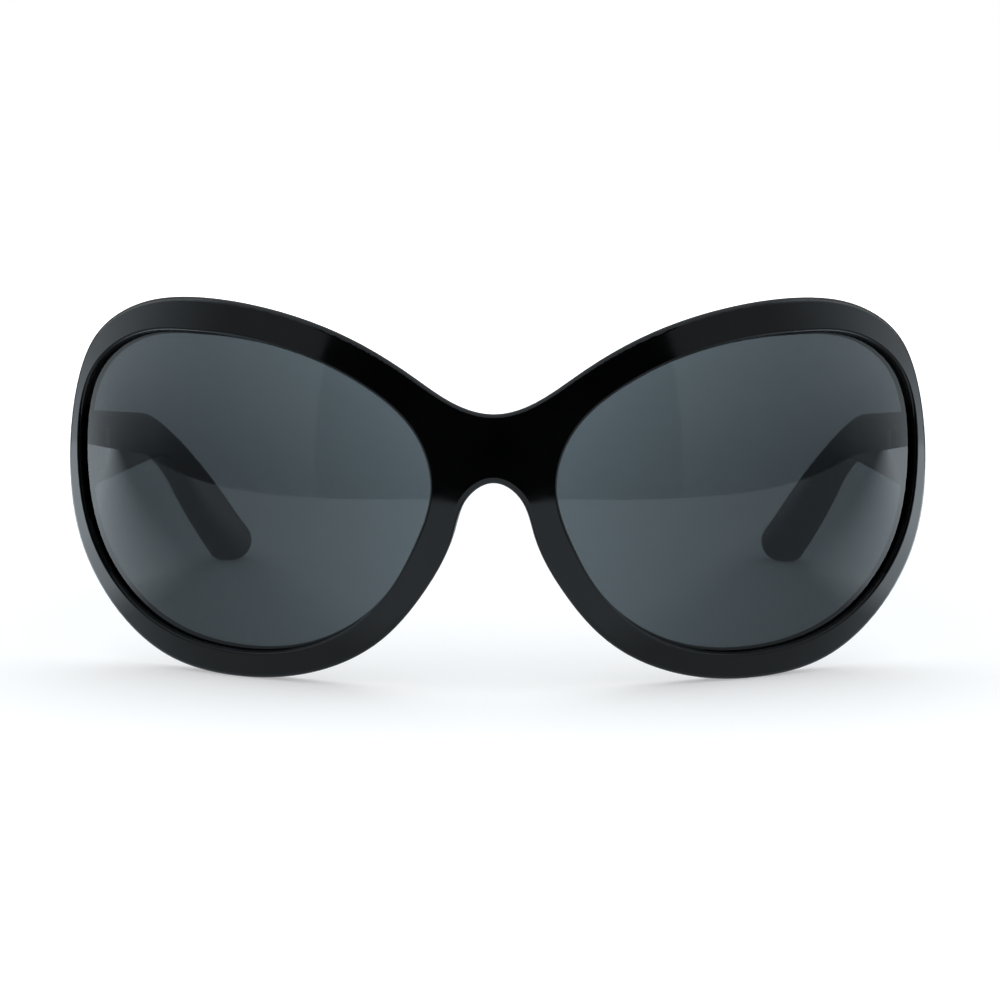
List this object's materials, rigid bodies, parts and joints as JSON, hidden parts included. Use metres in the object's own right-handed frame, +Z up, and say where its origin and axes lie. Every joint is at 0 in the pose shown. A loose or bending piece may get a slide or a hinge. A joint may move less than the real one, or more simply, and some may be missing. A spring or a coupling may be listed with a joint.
{
  "type": "sunglasses",
  "caption": "Oversized wrap-curved sunglasses with a glossy black frame, smoke lenses, nose pads and temples that fold on screw hinges.",
  "frame": {"origin": "on the table under the middle of the glasses, half way between the bridge and the temple tips", "axes": "+Z up, the front faces -Y and the temples run back along +Y, +X is the wearer's left"},
  "size_m": [0.1476, 0.1499, 0.0639],
  "materials": {
    "black_acetate": "polished",
    "smoke_lens": "tinted, polished",
    "hinge_metal": "satin nickel"
  },
  "bodies": {
    "front": {"front_frame": "black_acetate", "lens_left": "smoke_lens", "lens_right": "smoke_lens", "nose_pad_left": "black_acetate", "nose_pad_right": "black_acetate", "hinge_front_leaf_left": "hinge_metal", "hinge_front_leaf_right": "hinge_metal", "hinge_screw_left": "hinge_metal", "hinge_screw_right": "hinge_metal"},
    "temple_left_arm": {"temple_left": "black_acetate", "hinge_temple_leaf_left": "hinge_metal"},
    "temple_right_arm": {"temple_right": "black_acetate", "hinge_temple_leaf_right": "hinge_metal"}
  },
  "joints": [
    {"name": "temple_left_fold", "type": "hinge", "parent": "front", "child": "temple_left_arm", "pos_m": [0.06932, -0.031, 0.0355], "axis": [0, 0, 1], "range_deg": [0, 95]},
    {"name": "temple_right_fold", "type": "hinge", "parent": "front", "child": "temple_right_arm", "pos_m": [-0.06932, -0.031, 0.0355], "axis": [0, 0, -1], "range_deg": [0, 84]}
  ]
}
